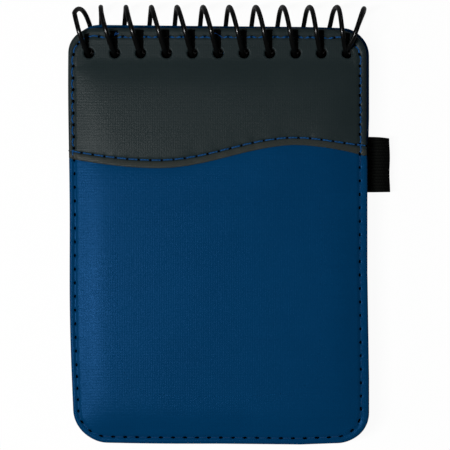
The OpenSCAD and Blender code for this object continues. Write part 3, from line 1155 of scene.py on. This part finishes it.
def recalled(tree, name):
    """A direction that was kept under a name."""
    return put(tree, "GeometryNodeInputNamedAttribute", {"data_type": "FLOAT_VECTOR"},
               {"Name": name}).outputs[0]


def grown_mesh(name, path, tree, values):
    """Runs a tree on a path and returns the mesh that it makes, plain and without the modifier."""
    carrier = bpy.data.objects.new(name, path)
    bpy.context.scene.collection.objects.link(carrier)
    modifier = carrier.modifiers.new("grow", "NODES")
    modifier.node_group = tree
    for item in tree.interface.items_tree:
        if item.in_out == "INPUT" and item.name in values:
            modifier[item.identifier] = values[item.name]
    mesh = plain_mesh(carrier)
    bpy.data.objects.remove(carrier)
    return mesh


# %% [markdown]
# ## Stitches
# The seam goes in as needle holes joined by edges. Each edge becomes a point that carries one arched
# length of thread, turned and stretched to fit, and each hole gets a small dark dimple, longest along
# the seam.

# %% Stitch tree
def arched_thread(tree, start):
    """One length of thread, a millimetre long, arched between two needle holes."""
    arch = put(tree, "GeometryNodeCurveQuadraticBezier", None,
               {"Resolution": 7, "Start": (-0.5, 0, -0.25), "End": (0.5, 0, -0.25)})
    crest = put(tree, "ShaderNodeCombineXYZ", None,
                {"Y": start.outputs["Aside"], "Z": start.outputs["Rise"]})
    tree.links.new(crest.outputs[0], arch.inputs["Middle"])
    along = put(tree, "GeometryNodeSplineParameter").outputs["Factor"]
    ring = put(tree, "GeometryNodeCurvePrimitiveCircle", None,
               {"Resolution": 6, "Radius": start.outputs["Thread"]})
    thread = put(tree, "GeometryNodeCurveToMesh", None,
                 {"Curve": marked(tree, arch.outputs[0], "along", along),
                  "Profile Curve": marked(tree, ring.outputs[0], "around", along), "Fill Caps": True})
    return thread.outputs[0]


def threads(tree, start, seam):
    """A length of thread on each edge of the seam, which runs its way and is as long."""
    middles = put(tree, "GeometryNodeMeshToPoints", {"mode": "EDGES"}, {"Mesh": seam})
    span = recalled(tree, "span")
    length = put(tree, "ShaderNodeVectorMath", {"operation": "LENGTH"}, {0: span}).outputs["Value"]
    vary = put(tree, "FunctionNodeRandomValue", {"data_type": "FLOAT"},
               {"Min": 0.93, "Max": 1.05, "Seed": start.outputs["Seed"]}).outputs[1]
    stretch = Field(length) * Field(start.outputs["Share"]) * Field(vary)
    scale = put(tree, "ShaderNodeCombineXYZ", None, {"X": stretch, "Y": 1.0, "Z": 1.0})
    turn = put(tree, "FunctionNodeAlignRotationToVector", {"axis": "X"}, {"Vector": span})
    laid = put(tree, "GeometryNodeInstanceOnPoints", None,
               {"Points": middles.outputs[0], "Instance": arched_thread(tree, start),
                "Rotation": turn.outputs[0], "Scale": scale.outputs[0]})
    return put(tree, "GeometryNodeSetMaterial", None,
               {"Geometry": laid.outputs[0], "Material": start.outputs["Thread finish"]}).outputs[0]


def dimples(tree, start, seam):
    """A dark dimple in each needle hole."""
    holes = put(tree, "GeometryNodeMeshToPoints", {"mode": "VERTICES"},
                {"Mesh": marked(tree, seam, "way", recalled(tree, "span"), "FLOAT_VECTOR")})
    pit = put(tree, "GeometryNodeMeshUVSphere", None,
              {"Segments": 10, "Rings": 4, "Radius": start.outputs["Hole"]})
    turn = put(tree, "FunctionNodeAlignRotationToVector", {"axis": "X"}, {"Vector": recalled(tree, "way")})
    flat = put(tree, "ShaderNodeCombineXYZ", None, {"X": start.outputs["Stretch"], "Y": 1.0, "Z": 0.25})
    laid = put(tree, "GeometryNodeInstanceOnPoints", None,
               {"Points": holes.outputs[0], "Instance": pit.outputs[0], "Rotation": turn.outputs[0],
                "Scale": flat.outputs[0]})
    return put(tree, "GeometryNodeSetMaterial", None,
               {"Geometry": laid.outputs[0], "Material": needle_hole}).outputs[0]


def stitch_tree():
    tree, start, end = group_tree("stitches", {
        "Share": ("NodeSocketFloat", 0.8), "Thread": ("NodeSocketFloat", 0.24),
        "Rise": ("NodeSocketFloat", 0.3), "Seed": ("NodeSocketInt", 7), "Hole": ("NodeSocketFloat", 0.36),
        "Stretch": ("NodeSocketFloat", 1.0), "Aside": ("NodeSocketFloat", 0.0),
        "Thread finish": ("NodeSocketMaterial", None)})
    ends = put(tree, "GeometryNodeInputMeshEdgeVertices")
    span = put(tree, "ShaderNodeVectorMath", {"operation": "SUBTRACT"},
               {0: ends.outputs["Position 2"], 1: ends.outputs["Position 1"]})
    seam = marked(tree, start.outputs["Geometry"], "span", span.outputs[0], "FLOAT_VECTOR", "EDGE")
    both = put(tree, "GeometryNodeJoinGeometry")
    tree.links.new(dimples(tree, start, seam), both.inputs[0])
    tree.links.new(threads(tree, start, seam), both.inputs[0])
    real = put(tree, "GeometryNodeRealizeInstances", None, {"Geometry": both.outputs[0]})
    smooth = put(tree, "GeometryNodeSetShadeSmooth", None, {"Geometry": real.outputs[0]})
    tree.links.new(smooth.outputs[0], end.inputs[0])
    return tree


stitches = stitch_tree()
print("stitch tree of", len(stitches.nodes), "nodes")

# %% [markdown]
# ## Sewing the seams
# Each stretch of seam is a list of needle holes at the height of the leatherette. Stitches on the band
# stand proud and shine. On the blue leatherette the thread is drawn in, and little more than the needle
# holes shows; that thread's finish is darker, painted shade of its groove.

# %% Seams
def open_path(points):
    """A mesh of points joined in a row by edges."""
    mesh = bpy.data.meshes.new("path")
    mesh.from_pydata([tuple(p) for p in points], [(i, i + 1) for i in range(len(points) - 1)], [])
    return mesh


def sewn(stretches):
    """The threads of several stretches as one mesh in the cover's frame: points, faces and finishes."""
    points, faces, finishes, marks = [], [], [], {"along": [], "around": []}
    for path, values in stretches:
        mesh = grown_mesh("seam", open_path(path), stitches, values)
        start = len(points)
        names = [m.name if m else "" for m in mesh.materials]
        points += [tuple(v.co) for v in mesh.vertices]
        for face in mesh.polygons:
            faces.append(tuple(start + v for v in face.vertices))
            finishes.append(names[face.material_index])
        for mark, kept in marks.items():
            kept += [item.value for item in mesh.attributes[mark].data]
        bpy.data.meshes.remove(mesh)
    return points, faces, finishes, marks


def seam_piece(name, stretches, cover, node_name):
    points, faces, finishes, marks = sewn(stretches)
    piece = made_object(name, place(points, cover), faces, blue_thread, flip=cover is back)
    piece.data.materials.append(needle_hole)
    piece.data.materials.append(shaded_sunk_thread)
    order = [material.name for material in piece.data.materials]
    for face, finish in zip(piece.data.polygons, finishes):
        face.material_index = order.index(finish)
    for mark, values in marks.items():
        piece.data.attributes.new(mark, "FLOAT", "POINT").data.foreach_set("value", values)
    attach(piece, cover["body"])
    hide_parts(node_name)
    print(name, len(faces), "faces")
    return piece


def ground(needles, cover):
    """Height of the cover's face at needle holes, above the dimples."""
    x, y = needles.T
    on_band = (cover is front) & (y > wave_y(x))
    return cover_height(x, y, cover, dimples=False) + 0.02 + np.where(on_band, band_t + layer_gap, 0.0)


# %% [markdown]
# ## How each stretch is sewn
# Share is how much of the way from hole to hole the thread shows, Rise how far it arches, Aside how far
# it leans to one side, and Stretch how long the dimples are. All lengths are in millimetres.

# %% Kinds of stitch, and the three seams
proud = {"Share": 0.75, "Thread": 0.21, "Rise": 0.52, "Seed": 3, "Hole": 0.36, "Stretch": 1.7,
         "Aside": -0.85, "Thread finish": blue_thread}
waved = {"Share": 0.86, "Thread": 0.21, "Rise": 0.5, "Seed": 4, "Hole": 0.29, "Stretch": 2.1,
         "Aside": 0.1, "Thread finish": blue_thread}
drawn_in = {"Share": 0.8, "Thread": 0.2, "Rise": -0.1, "Seed": 5, "Hole": 0.33, "Stretch": 1.5,
            "Aside": -0.3, "Thread finish": shaded_sunk_thread}
drawn_long = {"Share": 0.75, "Thread": 0.2, "Rise": 0.1, "Seed": 9, "Hole": 0.33, "Stretch": 2.1,
              "Aside": 0.0, "Thread finish": shaded_sunk_thread}


def edge_stretches(cover):
    """The edge seam split by how its stitches lie, each stretch up to the next one's first hole."""
    needles = cover["needles"]
    x, y = needles.T
    on_band = y > wave_y(x) if cover is front else np.zeros(len(x), bool)
    foot = y < seam_edges[2] + 6
    kinds = np.where(on_band, 0, np.where(foot, 2, 1))
    count, first = len(x), 0
    while kinds[first - 1] == kinds[first]:
        first += 1
    way_round = np.mod(first + np.arange(count + 1), count)
    changes = [0, *(np.where(np.diff(kinds[way_round[:-1]]) != 0)[0] + 1), count]
    holes = np.column_stack([needles, ground(needles, cover)])
    return [(holes[way_round[a:b + 1]], (proud, drawn_in, drawn_long)[kinds[way_round[a]]])
            for a, b in zip(changes, changes[1:])]


front_seam = seam_piece("front_edge_seam", edge_stretches(front), front, "front_cover_stitching")
back_seam = seam_piece("back_edge_seam", edge_stretches(back), back, "back_cover_stitching")
wave_z = ground(band_needles, front)
wave_z[[0, -1]] -= 0.35, 0.05  # the left end goes over the rim
wave_holes = np.column_stack([band_needles, wave_z])
wave_seam = seam_piece("wave_seam", [(wave_holes, waved)], front, "band_stitching")

# %% [markdown]
# ## Loose thread ends
# Punching the binding holes has cut the seam here and there, and three short ends stand up beside the
# wire. They are thin curves with a bevel, made into a mesh.

# %% Loose thread ends
# Where each end starts in the cover's frame, how far it runs across and along, and how high it lifts
loose_runs = [((-30.85, 5.25), (0.7, 1.0), 0.06),
              ((-30.4, 5.5), (0.95, 0.4), 0.02),
              ((-1.07, 6.1), (2.3, -1.45), 0.04)]
loose_r = 0.14
sunk = 0.03  # into the nap of the band


def loose_ends():
    curve = bpy.data.curves.new("loose_ends", "CURVE")
    curve.dimensions = "3D"
    curve.bevel_depth = loose_r * MM
    curve.bevel_resolution = 1
    curve.use_fill_caps = True
    steps = np.linspace(0, 1, 7)
    for begin, run, lift in loose_runs:
        spline = curve.splines.new("POLY")
        straight = np.array(begin) + np.outer(steps, run)
        height = ground(straight, front) - sunk + lift * np.sin(2.2 * steps)
        line = np.column_stack([straight[:, 0], straight[:, 1] + 0.15 * np.sin(3 * steps), height])
        spline.points.add(len(line) - 1)
        for point, at in zip(spline.points, place(line, front)):
            point.co = (*at, 1)
    carrier = bpy.data.objects.new("loose_ends", curve)
    bpy.context.scene.collection.objects.link(carrier)
    mesh = plain_mesh(carrier)
    bpy.data.objects.remove(carrier)
    mesh.materials.clear()
    mesh.materials.append(loose_thread)
    piece = bpy.data.objects.new("loose_thread_ends", mesh)
    bpy.context.scene.collection.objects.link(piece)
    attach(piece, "front_cover")
    print("loose ends", len(mesh.polygons), "faces")
    return piece


thread_ends = loose_ends()

# %% [markdown]
# ## The coil
# The wire is a helix with both ends bent in. Python gives the line of its middle, with the angle of each
# point kept as an attribute, and Geometry Nodes sweep a round section along it.
#
# When the cover turns over, the wire has to stay in every hole. So each point of the wire turns by its
# own share of the cover's angle: all of it inside the cover, a leaf's own share inside that leaf, and
# none inside the back cover.

# %% The coil's line
axis_at = np.array(next(j for j in frame["joints"] if j["name"] == "cover_hinge")["pos_m"]) / MM
wire_d = 1.42  # with its black coat
coil_r = 7.4
turn_total = 360 * hole_count
coil_start = -126  # the end bent in behind the first hole
coil_end = turn_total + 144  # the end bent back over the last hole


def wire_angle(height):
    """The coil's angle where the wire crosses a height over its axis, on the covers' side."""
    return 180 - math.degrees(math.asin(height / coil_r))


def eased(t):
    u = np.clip(t, 0, 1)
    return u * u * (3 - 2 * u)


front_t = case_t + layer_gap + band_t
front_in = front_low[2] - axis_at[2]
hole_angle = wire_angle(front_in + front_t / 2)
wire_lean = 0.35  # of the wire in the first hole, to the left


def swell(u, middle, half):
    """Rises smoothly to 1 at the middle angle, and back to 0 a half to either side."""
    return eased(1 - np.abs(u - middle) / half)


def bent_turns(a):
    """How far each free turn, from one hole to the next, is bent along the coil."""
    loop = np.round(a / 360)
    u = a - 360 * loop  # the angle from the top of the turn
    tip = (0.0446 * (loop - 4.2) ** 2 - 0.75) * swell(u, 0, 110)
    behind = (0.55 * (np.abs(loop - 4) / 6) ** 2 + 0.5 * (loop == 1)) * swell(u, -79, 62)
    before = -1.05 * (np.clip(10.5 - loop, 0, 9.5) / 9.5) ** 1.5 * swell(u, 60, 100)
    return np.where((loop > 0) & (loop < hole_count), tip + behind + before, 0)


def coil_x(a):
    """Place of the wire along the coil: a helix, end turns that lean out, and ends bent in."""
    b = a - turn_total
    helix = hole_xs[0] - wire_lean + pitch * (a - hole_angle) / 360
    first = 6.7 * grow(a, 45, -79) ** 1.05 - 1.5 * eased((190 - a) / 140)
    last = 2 * eased((b + 150) / 115) - 9 * grow(b, -30, 144) ** 1.5
    return helix + first + last + bent_turns(a)


def coil_reach(a):
    """Radius of the coil, whose free arcs are drawn in a little, and the end ones more."""
    loop = np.round(a / 360)
    drawn = np.where(loop == 0, 0.95, np.where(loop == hole_count, 0.85, 0.42))
    return coil_r - drawn * eased(1 - np.abs(a - 360 * loop) / 120)


print("wire of", round((coil_end - coil_start) / 360, 2), "turns round", axis_at.round(2))

# %% [markdown]
# ## The wire's share of a turn
# Each layer meets the wire at an angle of its own, and these angles, in order round the coil, are where
# the shares are known. Between them the wire twists evenly. Rings of the wire stand closest where the
# open fan will stretch it.

# %% Shares of the turn
leaf_angles = []
for n in range(1, leaf_count + 1):
    low, high = box(f"leaf_{n}")
    leaf_angles.append(wire_angle((low[2] + high[2]) / 2 - axis_at[2]))
leaf_shares = {c["joint"]: c["ratio"] for c in frame["record"]["behaviour"]["couplings"]}
held_by_cover = (wire_angle(front_in + front_t), wire_angle(front_in))
held_by_back = (leaf_angles[-1] + 0.9, wire_angle(back_low[2] - axis_at[2]))
share_angles = [*held_by_cover, *leaf_angles, *held_by_back, held_by_cover[0] + 360]
shares = [1, 1, *(leaf_shares[f"leaf_{n}_hinge"] for n in range(1, leaf_count + 1)), 0, 0, 1]


def share_of_turn(a):
    """How much of the cover's angle the wire turns by, at each of its points."""
    around = np.mod(a - held_by_cover[0], 360) + held_by_cover[0]
    return np.interp(around, share_angles, shares)


def coil_angles():
    """Angles of the rings: even round the loop, and close together among the leaves."""
    even = np.arange(coil_start, coil_end + 1e-6, 9)
    to_back = np.linspace(leaf_angles[-1], held_by_back[0], 26)[1:]
    close = np.concatenate([leaf_angles, to_back, held_by_cover])
    turns = np.arange(-1, hole_count + 1)
    extra = (close[None, :] + 360 * turns[:, None]).ravel()
    extra = extra[(extra > coil_start) & (extra < coil_end)]
    both = np.unique(np.round(np.concatenate([even, extra]), 5))
    return both[np.concatenate([[True], np.diff(both) > 0.02])]


print("shares of the turn at", len(shares), "angles round the coil")

# %% [markdown]
# ## The wire itself
# The line of points becomes a curve, and a round section is swept along it.

# %% Coil
def coil_tree():
    tree, start, end = group_tree("coil", {"Wire radius": ("NodeSocketFloat", wire_d / 2 * MM),
                                           "Sides": ("NodeSocketInt", 14)})
    line = put(tree, "GeometryNodeMeshToCurve", None, {"Mesh": start.outputs["Geometry"]})
    section = put(tree, "GeometryNodeCurvePrimitiveCircle", None,
                  {"Resolution": start.outputs["Sides"], "Radius": start.outputs["Wire radius"]})
    wire = put(tree, "GeometryNodeCurveToMesh", None,
               {"Curve": line.outputs[0], "Profile Curve": section.outputs[0], "Fill Caps": True})
    coated = put(tree, "GeometryNodeSetMaterial", None,
                 {"Geometry": wire.outputs[0], "Material": coated_wire})
    real = put(tree, "GeometryNodeRealizeInstances", None, {"Geometry": coated.outputs[0]})
    smooth = put(tree, "GeometryNodeSetShadeSmooth", None, {"Geometry": real.outputs[0]})
    tree.links.new(smooth.outputs[0], end.inputs[0])
    return tree


def wire_coil():
    a = coil_angles()
    turn = np.radians(a)
    radius = coil_reach(a)
    points = np.column_stack([coil_x(a) + front["at"][0], axis_at[1] + radius * np.cos(turn),
                              axis_at[2] + radius * np.sin(turn)]) * MM
    path = open_path(points)
    path.attributes.new("turn", "FLOAT", "POINT").data.foreach_set("value", a)
    mesh = grown_mesh("coil_path", path, coil_tree(), {"Wire radius": wire_d / 2 * MM, "Sides": 14})
    mesh.name = "wire_coil"
    piece = bpy.data.objects.new("wire_coil", mesh)
    bpy.context.scene.collection.objects.link(piece)
    turns = np.zeros(len(mesh.vertices), np.float32)
    mesh.attributes["turn"].data.foreach_get("value", turns)
    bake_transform(piece, "front_cover", "back", start=(0, 0, 1), end=(0, 0, 0))
    mesh.attributes["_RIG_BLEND"].data.foreach_set("value", 1 - share_of_turn(turns.astype(float)))
    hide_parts("binding_coil")
    print("coil", len(a), "rings,", len(mesh.polygons), "faces")
    return piece


coil = wire_coil()

# %% [markdown]
# ## The pen loop
# A length of elastic is folded round and both ends are sewn into the back cover's edge. Seen from the
# side it leaves the edge double, opens into a round loop, and springs back a little at its outer edge.

# %% Pen loop
loop_low, loop_high = box("pen_loop")
loop_r = 3.1
loop_wall = 0.6
loop_mid = np.array([loop_high[0] - loop_r - 0.3, (loop_low[2] + loop_high[2]) / 2])
loop_low[1] -= 0.65  # the elastic is cut a little long towards the foot


def loop_line():
    """The elastic's middle line in the plane across it, from one sewn end to the other."""
    bend = np.radians(np.linspace(142, -142, 33))
    radius = loop_r - loop_wall / 2
    circle = np.stack([radius * np.cos(bend), radius * np.sin(bend)], 1)
    root = np.array([[-6.5, 0.31], [-5, 0.31], [-3.9, 0.33], [-3.1, 0.6], [-2.65, 1.15]])
    line = np.vstack([root, circle, root[::-1] * [1, -1]])
    for _ in range(2):  # cut the corners twice
        cut = np.stack([line[:-1] * 0.75 + line[1:] * 0.25, line[:-1] * 0.25 + line[1:] * 0.75], 1)
        line = np.vstack([line[:1], cut.reshape(-1, 2), line[-1:]])
    return line


def pen_loop():
    """Rows of the elastic's line, side by side, each with the slant and waviness of its place."""
    line = loop_line()
    across = np.linspace(0, 1, 41)
    points = []
    for v in across:
        y = loop_low[1] + v * (loop_high[1] - loop_low[1])
        selvage = 0.05 * math.exp(-((0.5 - abs(v - 0.5)) / 0.04) ** 2)
        wide = 1 + 0.015 * math.cos(3 * math.pi * v) - 0.02 * v
        for x, z in line:
            out = max(0.0, x + loop_r) / (2 * loop_r)
            slant = -0.5 * out * v + 0.1 * math.sin(2.5 * out) * (v < 0.5)
            points.append((loop_mid[0] + (x + loop_r) * wide - loop_r, y + slant,
                           loop_mid[1] + z * (1 - selvage)))
    faces = grid_faces(len(across), len(line))
    piece = made_object("elastic_pen_loop", np.array(points) * MM, faces, black_elastic)
    thickened(piece, loop_wall, offset=0)
    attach(piece, "back")
    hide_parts("pen_loop")
    print("pen loop", len(piece.data.polygons), "faces")
    return piece


loop_piece = pen_loop()

# %% [markdown]
# ## The table
# The notebook lies on a white table that is nearly a lamp itself where the camera sees it, so that it
# stays white but still takes a faint shadow. In the wire's reflections its colour is painted dark: a painted
# reflection. A strip under the binding holes, through which it would shine, is painted black as painted
# shadow, and it is clear when seen from below.

# %% Table
# the table's painted shadow under the holes: its ends and its width
strip_end = 3.3  # from the cover's side to the strip's end
strip_foot, strip_top = -2.4, 3.0  # from the row of holes


def light_path(tree, ray):
    return Field(put(tree, "ShaderNodeLightPath").outputs[f"Is {ray} Ray"])


def painted_shadow_under_holes(finish):
    """1 in the painted shadow under the row of holes, a strip whose ends are cut slanting, and 0 elsewhere."""
    low, high = box("back_cover_skin")
    from_middle = (finish.axis("X") - (low[0] + high[0]) / 2 * MM).absolute()
    from_row = finish.axis("Y") - front["at"][1] * MM
    half = ((high[0] - low[0]) / 2 - strip_end) * MM
    return ((from_middle + from_row.absolute() * 0.4).less(half)
            * from_row.above(strip_foot * MM) * from_row.less(strip_top * MM))


def two_shaders(tree, factor, first, second):
    mixed = put(tree, "ShaderNodeMixShader", None, {"Fac": factor})
    tree.links.new(first, mixed.inputs[1])
    tree.links.new(second, mixed.inputs[2])
    return mixed.outputs[0]


def table_finish():
    finish = Finish("white_table", Roughness=0.9, Specular_IOR_Level=0.0)
    tree = finish.tree
    seen, shine, through = (light_path(tree, ray) for ray in ("Camera", "Glossy", "Transmission"))
    under = painted_shadow_under_holes(finish)
    # painted reflection: the table's colour is dark for glossy rays
    dark_in_reflections = finish.mix(shine, shade(0.9, 0.9, 0.9), shade(0.1, 0.1, 0.1))
    # painted shadow: nearly black under the holes
    finish.feed("Base Color", finish.mix(under, dark_in_reflections, shade(0.002, 0.002, 0.002)))
    glow = put(tree, "ShaderNodeEmission", None, {"Color": shade(1, 1, 1), "Strength": 1.0})
    glow_share = (seen + shine * 0.1 + through) * 0.95 * (1 - under)
    top_side = two_shaders(tree, glow_share, finish.shader.outputs[0], glow.outputs[0])
    below = put(tree, "ShaderNodeNewGeometry").outputs["Backfacing"]
    clear = put(tree, "ShaderNodeBsdfTransparent")
    output = next(node for node in tree.nodes if node.type == "OUTPUT_MATERIAL")
    tree.links.new(two_shaders(tree, below, top_side, clear.outputs[0]), output.inputs["Surface"])
    return finish.material


reach, table_z = 3.0, -0.00005  # in metres; the table lies a hair below the notebook
corners = [(-reach, -reach, table_z), (reach, -reach, table_z),
           (reach, reach, table_z), (-reach, reach, table_z)]
table = made_object("table", corners, [(0, 1, 2, 3)], table_finish())
print("table", 2 * reach, "m wide")

# %% [markdown]
# ## Lamps
# One strong lamp, long and narrow, hangs to the left of the notebook. It shines back from the left
# shoulder of the padding and throws the wire's shadow on the band. Two weak ones fill the rest, and the
# world adds a faint even light. Each lamp's power is worked out from the share of light that it gives
# the table.

# %% Lamps
world = bpy.data.worlds.new("studio")
bpy.context.scene.world = world
world.use_nodes = True
background = world.node_tree.nodes["Background"]
background.inputs["Color"].default_value = shade(1, 1, 1)
sky = light_path(world.node_tree, "Camera") * 0.94 + 0.06
world.node_tree.links.new(sky.socket, background.inputs["Strength"])


def lamp(name, direction, distance, size, share):
    """A lamp in that direction, whose size is in metres as its distance is."""
    way = np.array(direction, float) / np.linalg.norm(direction)
    light = bpy.data.lights.new(name, "AREA")
    light.shape = "RECTANGLE"
    light.size, light.size_y = size
    light.energy = share * math.pi * math.pi * distance ** 2 / way[2]
    thing = bpy.data.objects.new(name, light)
    bpy.context.scene.collection.objects.link(thing)
    thing.location = tuple(way * distance)
    thing.rotation_mode = "QUATERNION"
    thing.rotation_quaternion = Vector(-way).to_track_quat("-Z", "Y")
    print(name, round(light.energy, 2), "W")


lamp("key_lamp", (-0.404, -0.07, 1.0), 0.7, (0.06, 0.28), 0.86)
lamp("left_lamp", (-1.0, -0.2, 0.5), 0.7, (0.1, 0.3), 0.03)
lamp("back_lamp", (0.25, 1.0, 0.75), 0.7, (0.1, 0.3), 0.03)

# %% [markdown]
# ## Camera
# The camera looks straight down. Its lens is worked out from how wide a view it needs at the height of
# the front cover.

# %% Camera
level = (front_low[2] + case_t) * MM
stand = 0.6  # metres above the cover
view_span = 0.1337  # metres seen at the cover's height
camera_data = bpy.data.cameras.new("camera")
camera_data.lens = camera_data.sensor_width * stand / view_span
camera = bpy.data.objects.new("camera", camera_data)
bpy.context.scene.collection.objects.link(camera)
camera.location = (-0.0017, -0.0004, level + stand)
bpy.context.scene.camera = camera
bpy.context.scene.view_settings.view_transform = "Standard"
print("lens", round(camera_data.lens, 1), "mm")
